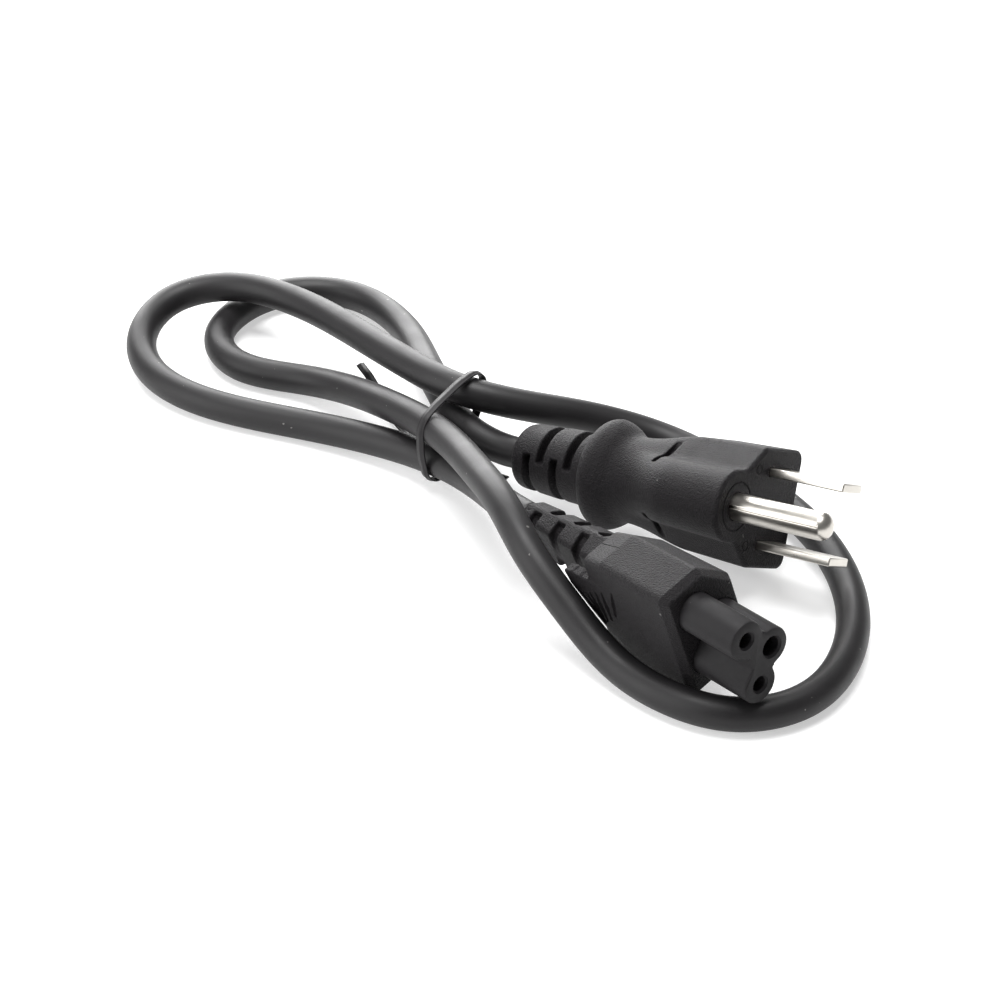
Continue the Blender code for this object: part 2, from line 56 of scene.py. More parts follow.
# where the two moulded ends lie: x runs out of the prongs or the nose
plugPose = {"place": (0.0150, 0.0098, 0.01326), "bearing": -36.7, "rise": 8.8, "roll": 61.4}
connectorPose = {"place": (0.0083, -0.0372, 0.0149), "bearing": -50.5, "rise": 3.5, "roll": -72.4}


def poseMatrix(pose):
    turn = Euler((math.radians(pose["roll"]), math.radians(-pose["rise"]), math.radians(pose["bearing"])))
    return Matrix.Translation(pose["place"]) @ turn.to_matrix().to_4x4()


plugMatrix = poseMatrix(plugPose)
connectorMatrix = poseMatrix(connectorPose)


# shader sums: a wire is one output of a node
class Wire:
    def __init__(self, tree, out=None):
        self.tree = tree
        self.out = out

    def node(self, kind, settings=None, inputs=None, output=0):
        made = self.tree.nodes.new(kind)
        for name, value in (settings or {}).items():
            setattr(made, name, value)
        for name, value in (inputs or {}).items():
            if isinstance(value, Wire):
                self.tree.links.new(value.out, made.inputs[name])
            else:
                made.inputs[name].default_value = value
        return Wire(self.tree, made.outputs[output])

    def sums(self, operation, first, second=0.0):
        return self.node("ShaderNodeMath", {"operation": operation}, {0: first, 1: second})

    def __add__(self, other):
        return self.sums("ADD", self, other)

    def __mul__(self, other):
        return self.sums("MULTIPLY", self, other)

    def __gt__(self, other):
        return self.sums("GREATER_THAN", self, other)


def startFinish(name, base, roughness, metallic=0.0, specular=0.5):
    finish = bpy.data.materials.new(name)
    finish.use_nodes = True
    shader = finish.node_tree.nodes["Principled BSDF"]
    shader.inputs["Base Color"].default_value = (*base, 1.0)
    shader.inputs["Roughness"].default_value = roughness
    shader.inputs["Metallic"].default_value = metallic
    shader.inputs["Specular IOR Level"].default_value = specular
    return finish, shader, Wire(finish.node_tree)


def feed(shader, **wires):
    for name, wire in wires.items():
        wire.tree.links.new(wire.out, shader.inputs[name.replace("_", " ")])


def tint(wire, share, first, second):
    return wire.node(
        "ShaderNodeMix", {"data_type": "RGBA"},
        {"Factor": share, "A": (*first, 1.0), "B": (*second, 1.0)}, "Result")


def relief(wire, height, depth):
    return wire.node("ShaderNodeBump", {}, {"Strength": 1.0, "Distance": depth, "Height": height})


def noise(wire, place, scale, detail):
    return wire.node("ShaderNodeTexNoise", {}, {"Vector": place, "Scale": scale, "Detail": detail})


# black jacket of the cord: drawn lines along it, a soft waviness and a few specks of dust
jacketLook = {
    "dark": (0.0085, 0.0080, 0.0085), "light": (0.014, 0.0130, 0.014), "dust": (0.15, 0.145, 0.14),
    "rough": 0.42, "specular": 0.27, "lineDepth": 0.000025, "waveDepth": 0.00025,
    "lineScale": 9.0, "lineRun": 14.0, "fineScale": 30.0, "fineRun": 60.0, "waveScale": 90.0,
    "cloudScale": 260.0, "speckScale": 900.0, "speckAbove": 0.79, "speckCover": 0.7,
}


def makeJacketFinish(look):
    finish, shader, wire = startFinish("jacketVinyl", look["dark"], look["rough"], 0.0, look["specular"])
    along = wire.node("ShaderNodeUVMap", {"uv_map": "jacket"})
    run = wire.node("ShaderNodeSeparateXYZ", {}, {0: along})
    turn = Wire(wire.tree, run.out.node.outputs[1]) * (2 * math.pi)
    east = wire.sums("COSINE", turn)
    north = wire.sums("SINE", turn)
    linePoint = wire.node("ShaderNodeCombineXYZ", {}, {0: east, 1: north, 2: run * look["lineRun"]})
    lines = noise(wire, linePoint, look["lineScale"], 3.0)
    finePoint = wire.node("ShaderNodeCombineXYZ", {}, {0: east, 1: north, 2: run * look["fineRun"]})
    fine = noise(wire, finePoint, look["fineScale"], 4.0)
    place = wire.node("ShaderNodeTexCoord", output="Object")
    wave = noise(wire, place, look["waveScale"], 2.0)
    cloud = noise(wire, place, look["cloudScale"], 4.0)
    speck = noise(wire, place, look["speckScale"], 1.0) > look["speckAbove"]
    worn = tint(wire, cloud * 0.55 + lines * 0.35, look["dark"], look["light"])
    dusted = wire.node(
        "ShaderNodeMix", {"data_type": "RGBA"},
        {"Factor": speck * look["speckCover"], "A": worn, "B": (*look["dust"], 1.0)}, "Result")
    feed(shader, Base_Color=dusted, Roughness=cloud * 0.16 + fine * 0.10 + (look["rough"] - 0.08))
    heights = lines * 0.5 + fine * 0.22 + wave * (look["waveDepth"] / look["lineDepth"] * 0.10)
    feed(shader, Normal=relief(wire, heights, look["lineDepth"]))
    return finish


# moulded vinyl of the plug and the connector: a fine sparked grain
mouldedLook = {
    "dark": (0.0070, 0.0062, 0.0070), "light": (0.0125, 0.0112, 0.0125), "dust": (0.18, 0.175, 0.17),
    "rough": 0.50, "specular": 0.13, "grain": 4300.0, "grainDepth": 0.00025,
    "cloudScale": 160.0, "speckScale": 700.0, "speckAbove": 0.80, "speckCover": 0.6,
}


def makeMouldedFinish(name, look):
    finish, shader, wire = startFinish(name, look["dark"], look["rough"], 0.0, look["specular"])
    place = wire.node("ShaderNodeTexCoord", output="Object")
    grain = noise(wire, place, look["grain"], 2.0)
    pits = wire.node("ShaderNodeTexVoronoi", {}, {"Vector": place, "Scale": look["grain"] * 0.8})
    cloud = noise(wire, place, look["cloudScale"], 5.0)
    speck = noise(wire, place, look["speckScale"], 1.0) > look["speckAbove"]
    worn = tint(wire, cloud * 0.6 + grain * 0.3, look["dark"], look["light"])
    dusted = wire.node(
        "ShaderNodeMix", {"data_type": "RGBA"},
        {"Factor": speck * look["speckCover"], "A": worn, "B": (*look["dust"], 1.0)}, "Result")
    feed(shader, Base_Color=dusted, Roughness=grain * 0.18 + cloud * 0.10 + (look["rough"] - 0.12))
    feed(shader, Normal=relief(wire, grain + pits * 0.5, look["grainDepth"]))
    return finish


# the nose is smoother than the body round it
noseLook = {
    **mouldedLook,
    "dark": (0.0085, 0.0080, 0.0088), "light": (0.015, 0.014, 0.015), "dust": (0.16, 0.16, 0.155),
    "specular": 0.14, "grain": 900.0, "grainDepth": 0.000012,
}


# bright plating: faint scratches from use
platingLook = {
    "base": (0.54, 0.52, 0.48), "shade": (0.40, 0.38, 0.35), "rough": 0.26,
    "scratchScale": 5200.0, "scratchRun": 0.06, "scratchDepth": 0.000006, "smearScale": 420.0,
}


def makePlatingFinish(look):
    finish, shader, wire = startFinish("nickelPlating", look["base"], look["rough"], 1.0)
    place = wire.node("ShaderNodeTexCoord", output="Object")
    turned = wire.node("ShaderNodeMapping", {}, {
        "Vector": place, "Rotation": (0.0, 0.0, math.radians(-plugPose["bearing"])),
        "Scale": (look["scratchRun"], 1.0, 1.0)})
    scratch = noise(wire, turned, look["scratchScale"], 3.0)
    smear = noise(wire, place, look["smearScale"], 4.0)
    feed(shader, Base_Color=tint(wire, smear * 0.7, look["base"], look["shade"]))
    feed(shader, Roughness=scratch * 0.10 + smear * 0.12 + (look["rough"] - 0.06))
    feed(shader, Normal=relief(wire, scratch, look["scratchDepth"]))
    return finish


brassLook = {
    "base": (0.60, 0.43, 0.18), "shade": (0.30, 0.20, 0.09), "rough": 0.34,
    "stainScale": 600.0, "stainDepth": 0.00001,
}


def makeBrassFinish(look):
    finish, shader, wire = startFinish("sleeveBrass", look["base"], look["rough"], 1.0)
    place = wire.node("ShaderNodeTexCoord", output="Object")
    stain = noise(wire, place, look["stainScale"], 4.0)
    feed(shader, Base_Color=tint(wire, stain, look["base"], look["shade"]), Roughness=stain * 0.3 + 0.2)
    feed(shader, Normal=relief(wire, stain, look["stainDepth"]))
    return finish


tieLook = {
    "dark": (0.0080, 0.0074, 0.0080), "light": (0.016, 0.015, 0.016), "rough": 0.44, "specular": 0.20,
    "cloudScale": 500.0, "grain": 2600.0, "grainDepth": 0.00004,
}


def makeTieFinish(look):
    finish, shader, wire = startFinish("tieCoating", look["dark"], look["rough"], 0.0, look["specular"])
    place = wire.node("ShaderNodeTexCoord", output="Object")
    cloud = noise(wire, place, look["cloudScale"], 4.0)
    grain = noise(wire, place, look["grain"], 2.0)
    feed(shader, Base_Color=tint(wire, cloud, look["dark"], look["light"]))
    feed(shader, Roughness=cloud * 0.2 + grain * 0.1 + (look["rough"] - 0.12))
    feed(shader, Normal=relief(wire, cloud * 0.7 + grain * 0.3, look["grainDepth"]))
    return finish


jacketVinyl = makeJacketFinish(jacketLook)
mouldedVinyl = makeMouldedFinish("mouldedVinyl", mouldedLook)
nosePlastic = makeMouldedFinish("nosePlastic", noseLook)
nickelPlating = makePlatingFinish(platingLook)
sleeveBrass = makeBrassFinish(brassLook)
tieCoating = makeTieFinish(tieLook)
print("finishes ready")


# shared modelling steps
def clearSelection():
    if bpy.context.mode != "OBJECT":
        bpy.ops.object.mode_set(mode="OBJECT")
    bpy.ops.object.select_all(action="DESELECT")


def pick(piece):
    clearSelection()
    piece.select_set(True)
    bpy.context.view_layer.objects.active = piece


def applyModifier(piece, kind, **settings):
    pick(piece)
    modifier = piece.modifiers.new(kind.lower(), kind)
    for name, value in settings.items():
        setattr(modifier, name, value)
    bpy.ops.object.modifier_apply(modifier=modifier.name)


def makeConsistent(piece):
    pick(piece)
    bpy.ops.object.mode_set(mode="EDIT")
    bpy.ops.mesh.select_all(action="SELECT")
    bpy.ops.mesh.normals_make_consistent(inside=False)
    bpy.ops.object.mode_set(mode="OBJECT")


def joinPieces(pieces):
    for piece in pieces:
        makeConsistent(piece)
    clearSelection()
    for piece in pieces:
        piece.select_set(True)
    bpy.context.view_layer.objects.active = pieces[0]
    bpy.ops.object.join()
    return pieces[0]


def cutWith(piece, cutters):
    for cutter in cutters:
        makeConsistent(cutter)
        applyModifier(piece, "BOOLEAN", object=cutter, operation="DIFFERENCE", solver="EXACT")
        bpy.data.objects.remove(cutter, do_unlink=True)


def soften(piece, voxel, passes):
    applyModifier(piece, "REMESH", mode="VOXEL", voxel_size=voxel, use_smooth_shade=True)
    applyModifier(piece, "SMOOTH", factor=0.5, iterations=passes)


def finishPiece(piece, matrix, finish, slotName, *nodes):
    pick(piece)
    piece.matrix_world = matrix
    bpy.context.view_layer.update()
    bpy.ops.object.transform_apply(location=True, rotation=True, scale=True)
    piece.data.materials.clear()
    piece.data.materials.append(finish)
    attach(piece, "root")
    if nodes:
        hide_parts(*nodes)


def shapeEnd(piece, before, points):
    sketch = bmesh.from_edit_mesh(piece.data)
    end = next(face for face in sketch.faces if face.select)
    for vertex in end.verts:
        nearest = min(range(len(before)), key=lambda i: (before[i] - vertex.co).length_squared)
        vertex.co = points[nearest]
    bmesh.update_edit_mesh(piece.data)


def extrudeSections(name, sections):  # a disc drawn out section by section, each outline set as it goes
    clearSelection()
    sections = [[Vector(point) for point in points] for points in sections]
    count = len(sections[0])
    bpy.ops.mesh.primitive_circle_add(vertices=count, radius=0.01, fill_type="NGON")
    piece = bpy.context.object
    piece.name = name
    before = [vertex.co.copy() for vertex in piece.data.vertices]
    bpy.ops.object.mode_set(mode="EDIT")
    bpy.ops.mesh.select_all(action="SELECT")
    shapeEnd(piece, before, sections[0])
    for index, points in enumerate(sections[1:]):
        step = points[0] - sections[index][0]
        bpy.ops.mesh.extrude_region_move(TRANSFORM_OT_translate={"value": step})
        shapeEnd(piece, [point + step for point in sections[index]], points)
    bpy.ops.mesh.select_all(action="SELECT")
    bpy.ops.mesh.normals_make_consistent(inside=False)
    bpy.ops.object.mode_set(mode="OBJECT")
    return piece


def turnProfile(name, profile, centre=(0.0, 0.0), sides=64):  # (x, radius) pairs turned about a line along x
    sections = []
    for x, radius in profile:
        sections.append([
            (x, centre[0] + radius * math.cos(2 * math.pi * i / sides),
             centre[1] + radius * math.sin(2 * math.pi * i / sides))
            for i in range(sides)
        ])
    return extrudeSections(name, sections)


def addBox(low, high):
    clearSelection()
    middle = [(a + b) / 2 for a, b in zip(low, high)]
    bpy.ops.mesh.primitive_cube_add(size=1.0, location=middle, scale=[b - a for a, b in zip(low, high)])
    box = bpy.context.object
    bpy.ops.object.transform_apply(location=True, rotation=True, scale=True)
    return box


def spinSlot(spec, distance, facing, halfWidth, halfHeight):  # half-round slot that faces an angle from +y
    clearSelection()
    depth, width, reach = spec["slotDepth"], spec["slotWidth"], math.radians(spec["slotReach"])
    inner = halfWidth - depth
    height = 0.004  # the cutter stands out well past the skin
    bpy.ops.mesh.primitive_plane_add(size=1.0, location=(-distance, inner + height / 2, 0.0))
    slot = bpy.context.object
    slot.scale = (width, height, 1.0)
    bpy.ops.object.transform_apply(location=True, rotation=True, scale=True)
    bpy.ops.object.mode_set(mode="EDIT")
    bpy.ops.mesh.select_all(action="SELECT")
    bpy.ops.mesh.spin(steps=28, angle=2 * reach, center=(0.0, 0.0, 0.0), axis=(1.0, 0.0, 0.0))
    bpy.ops.object.mode_set(mode="OBJECT")
    swept = sum((vertex.co for vertex in slot.data.vertices), Vector())
    turn = Matrix.Rotation(math.radians(facing) - math.atan2(swept.z, swept.y), 4, "X")
    flatten = Matrix.Diagonal((1.0, 1.0, (halfHeight - depth) / inner, 1.0))
    slot.matrix_world = Matrix.Translation((0.0, 0.0, spec["axisHeight"])) @ flatten @ turn
    bpy.context.view_layer.update()
    bpy.ops.object.transform_apply(location=True, rotation=True, scale=True)
    return slot


def roundCorners(corners, steps):  # (a, b, radius) corners, each drawn as an arc
    outline = []
    for index, (a, b, radius) in enumerate(corners):
        here = np.array((a, b))
        back = np.array(corners[index - 1][:2]) - here
        ahead = np.array(corners[(index + 1) % len(corners)][:2]) - here
        back = back / np.linalg.norm(back)
        ahead = ahead / np.linalg.norm(ahead)
        half = math.acos(float(back @ ahead)) / 2
        spoke = back * radius / math.tan(half)
        middle = (back + ahead) / np.linalg.norm(back + ahead) * radius / math.sin(half)
        spoke = spoke - middle
        turn = math.pi - 2 * half
        if back[0] * ahead[1] - back[1] * ahead[0] > 0:
            turn = -turn
        for step in range(steps + 1):
            c, s = math.cos(turn * step / steps), math.sin(turn * step / steps)
            turned = np.array((c * spoke[0] - s * spoke[1], s * spoke[0] + c * spoke[1]))
            outline.append(here + middle + turned)
    return outline


def fillSides(outline, longest):  # extra points along the long sides
    filled = []
    for index, here in enumerate(outline):
        ahead = outline[(index + 1) % len(outline)]
        parts = max(1, math.ceil(np.linalg.norm(ahead - here) / longest))
        filled += [here + (ahead - here) * part / parts for part in range(parts)]
    return filled


def insetOutline(outline, amount):
    moved = []
    for index, point in enumerate(outline):
        along = outline[(index + 1) % len(outline)] - outline[index - 1]
        along = along / np.linalg.norm(along)
        moved.append(point + amount * np.array((-along[1], along[0])))
    return moved


def ovalLike(outline, halfWidth, halfHeight, height):
    points = []
    for a, b in outline:
        angle = math.atan2(b - height, a)
        reach = 1 / math.hypot(math.cos(angle) / halfWidth, math.sin(angle) / halfHeight)
        points.append(np.array((reach * math.cos(angle), height + reach * math.sin(angle))))
    return points


def mixOutlines(first, second, share):
    return [a * (1 - share) + b * share for a, b in zip(first, second)]


def atDepth(distance, outline):
    return [(-distance, a, b) for a, b in outline]


def smoothThrough(points, count):  # natural cubic spline through points
    points = np.array(points)
    knots = np.concatenate(((0.0,), np.cumsum(np.linalg.norm(np.diff(points, axis=0), axis=1))))
    spans = np.diff(knots)
    total = len(points)
    system = np.eye(total)
    target = np.zeros((total, points.shape[1]))
    for i in range(1, total - 1):
        system[i, i - 1:i + 2] = spans[i - 1], 2 * (spans[i - 1] + spans[i]), spans[i]
        target[i] = 6 * ((points[i + 1] - points[i]) / spans[i] - (points[i] - points[i - 1]) / spans[i - 1])
    bend = np.linalg.solve(system, target)
    where = np.linspace(0.0, knots[-1], count)
    i = np.clip(np.searchsorted(knots, where, side="right") - 1, 0, total - 2)
    span = spans[i][:, None]
    left = (knots[i + 1] - where)[:, None]
    right = (where - knots[i])[:, None]
    return (
        (bend[i] * left ** 3 + bend[i + 1] * right ** 3) / (6 * span)
        + (points[i] / span - bend[i] * span / 6) * left
        + (points[i + 1] / span - bend[i + 1] * span / 6) * right
    )


def tubeFaces(rings, count):
    faces = []
    for ring in range(rings - 1):
        for i in range(count):
            j = (i + 1) % count
            a, b = ring * count, (ring + 1) * count
            faces.append((a + i, a + j, b + j, b + i))
    return faces


def closeTube(mesh):  # caps both ends, then links the mesh as a piece
    sketch = bmesh.new()
    sketch.from_mesh(mesh)
    bmesh.ops.holes_fill(sketch, edges=[edge for edge in sketch.edges if edge.is_boundary])
    bmesh.ops.recalc_face_normals(sketch, faces=sketch.faces)
    sketch.to_mesh(mesh)
    sketch.free()
    mesh.shade_smooth()
    piece = bpy.data.objects.new(mesh.name, mesh)
    bpy.context.scene.collection.objects.link(piece)
    return piece


# the cord: the same route as the solid, as a fine round tube
cordSpec = {
    "diameter": 0.0058,
    "gap": 0.0003,
    "leadOut": 0.004,
    "rings": 620,
    "sides": 40,
    "plugEnd": (0.0493, 0.0048),
    "connectorEnd": (0.0570, 0.0022),
    "route": (
        (-0.0385, 0.0453, 0.0084), (-0.0421, 0.0549, 0.0084), (-0.0456, 0.0693, 0.0068),
        (-0.0527, 0.0935, 0.0036), (-0.0629, 0.1045, 0.0030), (-0.0749, 0.1049, 0.0030),
        (-0.0841, 0.0963, 0.0030), (-0.0866, 0.0852, 0.0030), (-0.0818, 0.0760, 0.0030),
        (-0.0699, 0.0702, 0.0034), (-0.0526, 0.0511, 0.0094), (-0.0431, 0.0364, 0.0126),
        (-0.0356, 0.0177, 0.0158), (-0.0310, 0.0044, 0.0170), (-0.0270, -0.0053, 0.0146),
        (-0.0205, -0.0136, 0.0090), (-0.0137, -0.0211, 0.0042), (-0.0049, -0.0299, 0.0030),
        (0.0061, -0.0348, 0.0030), (0.0168, -0.0317, 0.0030), (0.0248, -0.0207, 0.0030),
        (0.0278, -0.0070, 0.0030), (0.0267, 0.0074, 0.0030), (0.0209, 0.0234, 0.0030),
        (0.0100, 0.0383, 0.0030), (-0.0024, 0.0473, 0.0046), (-0.0171, 0.0475, 0.0092),
        (-0.0294, 0.0461, 0.0126), (-0.0380, 0.0474, 0.0144), (-0.0469, 0.0556, 0.0142),
        (-0.0600, 0.0740, 0.0120), (-0.0738, 0.0901, 0.0102), (-0.0858, 0.0965, 0.0090),
        (-0.0961, 0.0951, 0.0070), (-0.1013, 0.0854, 0.0048), (-0.0989, 0.0740, 0.0034),
        (-0.0892, 0.0637, 0.0030), (-0.0691, 0.0546, 0.0030), (-0.0510, 0.0447, 0.0043),
        (-0.0408, 0.0353, 0.0057), (-0.0346, 0.0251, 0.0077),
    ),
}


def axisPoint(matrix, distance, height):
    return tuple(matrix @ Vector((-distance, 0.0, height)))


def layCord(spec):
    leave, height = spec["plugEnd"]
    arrive, level = spec["connectorEnd"]
    line = smoothThrough((
        axisPoint(plugMatrix, leave + spec["gap"], height),
        axisPoint(plugMatrix, leave + spec["gap"] + spec["leadOut"], height),
        *spec["route"],
        axisPoint(connectorMatrix, arrive + spec["gap"] + spec["leadOut"], level),
        axisPoint(connectorMatrix, arrive + spec["gap"], level),
    ), spec["rings"])
    ahead = np.gradient(line, axis=0)
    ahead = ahead / np.linalg.norm(ahead, axis=1)[:, None]
    side = np.cross(ahead[0], (0.0, 0.0, 1.0))
    reached = np.concatenate(((0.0,), np.cumsum(np.linalg.norm(np.diff(line, axis=0), axis=1))))
    corners = []
    radius = spec["diameter"] / 2
    for point, heading in zip(line, ahead):  # the side vector is carried along without twist
        side = side - heading * (side @ heading)
        side = side / np.linalg.norm(side)
        up = np.cross(side, heading)
        for i in range(spec["sides"]):
            angle = 2 * math.pi * i / spec["sides"]
            corners.append(tuple(point + radius * (math.cos(angle) * side + math.sin(angle) * up)))
    mesh = bpy.data.meshes.new("cordJacket")
    mesh.from_pydata(corners, [], tubeFaces(len(line), spec["sides"]))
    jacket = mesh.uv_layers.new(name="jacket")
    for polygon in mesh.polygons:
        ring, i = divmod(polygon.index, spec["sides"])
        spots = ((ring, i), (ring, i + 1), (ring + 1, i + 1), (ring + 1, i))
        for loop, (r, s) in zip(polygon.loop_indices, spots):
            jacket.data[loop].uv = (reached[r], s / spec["sides"])
    mesh.materials.append(jacketVinyl)
    return closeTube(mesh), line, float(reached[-1])


cordJacket, cordLine, cordLength = layCord(cordSpec)
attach(cordJacket, "root")
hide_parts("cord")
print("cord laid, length", round(cordLength, 4))


# plug body, measured from the line between the blades
plugSpec = {
    "faceHalfWidth": 0.0105, "faceBase": 0.0073, "faceShoulder": 0.0050, "faceCorner": 0.0018,
    "shoulderCorner": 0.0022, "lobeRadius": 0.0063, "lobeFootHeight": 0.0100, "lobeFoot": 0.0028,
    "edge": 0.0005, "draft": 0.0005, "axisHeight": 0.0048, "blockLength": 0.0120,
    "waist": (0.0252, 0.0077, 0.0077), "pinOffset": 0.0119,
    "collar": (
        (0.0252, 0.0077, 0.0077), (0.0262, 0.0079, 0.0079), (0.0271, 0.0084, 0.0083),
        (0.0281, 0.0091, 0.0089), (0.0291, 0.0096, 0.0093), (0.0301, 0.0099, 0.0095),
        (0.0310, 0.0098, 0.0094), (0.0318, 0.0094, 0.0090), (0.0324, 0.0087, 0.0084),
        (0.0329, 0.0078, 0.0076), (0.0332, 0.0071, 0.0070),
    ),
    "relief": (
        (0.0334, 0.0067), (0.0407, 0.0064), (0.0479, 0.0059), (0.0484, 0.00575), (0.0489, 0.00535),
        (0.0492, 0.0049), (0.0493, 0.0045),
    ),
    "slots": ((0.0360, 0), (0.0391, 180), (0.0422, 0), (0.0453, 180)),
    "slotWidth": 0.0017, "slotDepth": 0.0023, "slotReach": 97,
    "notchFromFace": 0.0168, "notchWidth": 0.0012, "notchRadius": 0.0060, "notchDepth": 0.0013,
    "notchBearing": math.radians(35),
    "bladeSpacing": 0.0127, "bladePocket": (0.00083, 0.00326, 0.0052), "pinPocket": (0.00248, 0.0053),
    "pinRing": (0.0042, 0.00016), "dimple": (0.0066, 0.0068, 0.0008, 0.00010),
    "voxel": 0.0002, "passes": 3, "blendRings": 24, "collarRings": 40, "pastFace": 0.004,
}


def plugFace(spec):
    top = spec["pinOffset"] + spec["lobeRadius"]
    lobe = spec["lobeRadius"]
    corners = [
        (-spec["faceHalfWidth"], -spec["faceBase"], spec["faceCorner"]),
        (spec["faceHalfWidth"], -spec["faceBase"], spec["faceCorner"]),
        (spec["faceHalfWidth"], spec["faceShoulder"], spec["shoulderCorner"]),
        (lobe, spec["lobeFootHeight"], spec["lobeFoot"]),
        (lobe, top, lobe * 0.98),
        (-lobe, top, lobe * 0.98),
        (-lobe, spec["lobeFootHeight"], spec["lobeFoot"]),
        (-spec["faceHalfWidth"], spec["faceShoulder"], spec["shoulderCorner"]),
    ]
    return fillSides(roundCorners(corners, 10), 0.0012)


def mouldPlug(spec):
    face = plugFace(spec)
    block = insetOutline(face, spec["draft"])
    waistAt, waistWide, waistHigh = spec["waist"]
    waist = ovalLike(face, waistWide, waistHigh, spec["axisHeight"])
    sections = [atDepth(0.0, insetOutline(face, spec["edge"])), atDepth(spec["edge"], face)]
    shapes = {}
    for step in range(spec["blendRings"]):
        share = step / spec["blendRings"]
        distance = spec["blockLength"] + (waistAt - spec["blockLength"]) * share
        shapes[distance] = mixOutlines(block, waist, share * share * (3 - 2 * share))
        sections.append(atDepth(distance, shapes[distance]))
    for distance, halfWidth, halfHeight in smoothThrough(spec["collar"], spec["collarRings"]):
        sections.append(atDepth(distance, ovalLike(face, halfWidth, halfHeight, spec["axisHeight"])))
    for distance, radius in spec["relief"]:
        sections.append(atDepth(distance, ovalLike(face, radius, radius, spec["axisHeight"])))
    body = extrudeSections("plugMoulding", sections)

    cutters = []
    (rootAt, root), (tipAt, tip) = spec["relief"][0], spec["relief"][2]
    for distance, facing in spec["slots"]:
        radius = root + (tip - root) * (distance - rootAt) / (tipAt - rootAt)
        cutters.append(spinSlot(spec, distance, facing, radius, radius))
    nearest = min(shapes, key=lambda distance: abs(distance - spec["notchFromFace"]))
    for side in (-1, 1):
        heading = np.array((side * math.cos(spec["notchBearing"]), math.sin(spec["notchBearing"])))
        centre = np.array((0.0, spec["axisHeight"]))
        rim = max(shapes[nearest], key=lambda p: float((p - centre) @ heading) / np.linalg.norm(p - centre))
        middle = centre + heading * (np.linalg.norm(rim - centre) + spec["notchRadius"] - spec["notchDepth"])
        rear = -spec["notchFromFace"] - spec["notchWidth"] / 2
        front = -spec["notchFromFace"] + spec["notchWidth"] / 2
        cutters.append(turnProfile(
            "notch", ((rear, spec["notchRadius"]), (front, spec["notchRadius"])), tuple(middle)))
    cutWith(body, cutters)
    soften(body, spec["voxel"], spec["passes"])

    cutters = []  # the tight pockets and the fine rings go in after the edges are softened
    halfThick, halfWide, deep = spec["bladePocket"]
    past = spec["pastFace"]
    for side in (-1, 1):
        middle = side * spec["bladeSpacing"] / 2
        cutters.append(addBox((-deep, middle - halfThick, -halfWide), (past, middle + halfThick, halfWide)))
    radius, deep = spec["pinPocket"]
    cutters.append(turnProfile("pinPocket", ((-deep, radius), (past, radius)), (0.0, spec["pinOffset"])))
    out, up, size, fine = spec["dimple"]
    for centre, major, minor in (
        ((0.0, spec["pinOffset"]), *spec["pinRing"]), ((out, up), size, fine), ((-out, up), size, fine),
    ):
        clearSelection()
        bpy.ops.mesh.primitive_torus_add(
            major_segments=64, minor_segments=8, major_radius=major, minor_radius=minor,
            location=(0.0, *centre), rotation=(0.0, math.radians(90), 0.0))
        bpy.ops.object.transform_apply(location=True, rotation=True, scale=True)
        cutters.append(bpy.context.object)
    cutWith(body, [joinPieces(cutters)])
    return body


plugMoulding = mouldPlug(plugSpec)
finishPiece(plugMoulding, plugMatrix, mouldedVinyl, "moulding", "plug_body")
print("plug moulded", len(plugMoulding.data.polygons))


# prongs
prongSpec = {
    "bladeSpacing": plugSpec["bladeSpacing"], "bladeWidth": 0.00635, "bladeThick": 0.0015,
    "bladeLength": 0.0156, "bladeRoot": 0.0050, "chamfer": 0.0010, "tipBevel": 0.0003, "edge": 0.00025,
    "pinOffset": plugSpec["pinOffset"], "pinRadius": 0.0024, "pinLength": 0.0187, "pinRoot": 0.0050,
    "tipRound": 0.8, "tipFlat": 0.02,
    "slitWidth": 0.0005, "slitDepth": 0.0013, "slitStart": 0.0025, "slitRun": 0.0172, "slitEdge": 0.00012,
}


def makeBlade(spec, side):
    middle = side * spec["bladeSpacing"] / 2
    a, b = spec["bladeThick"] / 2, spec["bladeWidth"] / 2
    front = spec["bladeLength"] - spec["chamfer"]
    blade = addBox((-spec["bladeRoot"], middle - a, -b), (front, middle + a, b))
    blade.name = "bladePlus" if side > 0 else "bladeMinus"
    bpy.ops.object.mode_set(mode="EDIT")
    bpy.ops.mesh.select_all(action="DESELECT")
    sketch = bmesh.from_edit_mesh(blade.data)
    for face in sketch.faces:
        face.select_set(face.normal.x > 0.9)
    bmesh.update_edit_mesh(blade.data)
    bpy.ops.mesh.extrude_region_move(TRANSFORM_OT_translate={"value": (spec["chamfer"], 0.0, 0.0)})
    tip = (spec["bladeLength"], middle, 0.0)
    narrow = ((a - spec["tipBevel"]) / a, (b - spec["chamfer"]) / b)
    bpy.ops.transform.resize(value=(1.0, narrow[0], narrow[1]), center_override=tip)
    bpy.ops.object.mode_set(mode="OBJECT")
    applyModifier(blade, "BEVEL", width=spec["edge"], segments=4, limit_method="ANGLE")
    pick(blade)
    bpy.ops.object.shade_smooth_by_angle(angle=math.radians(28))
    return blade


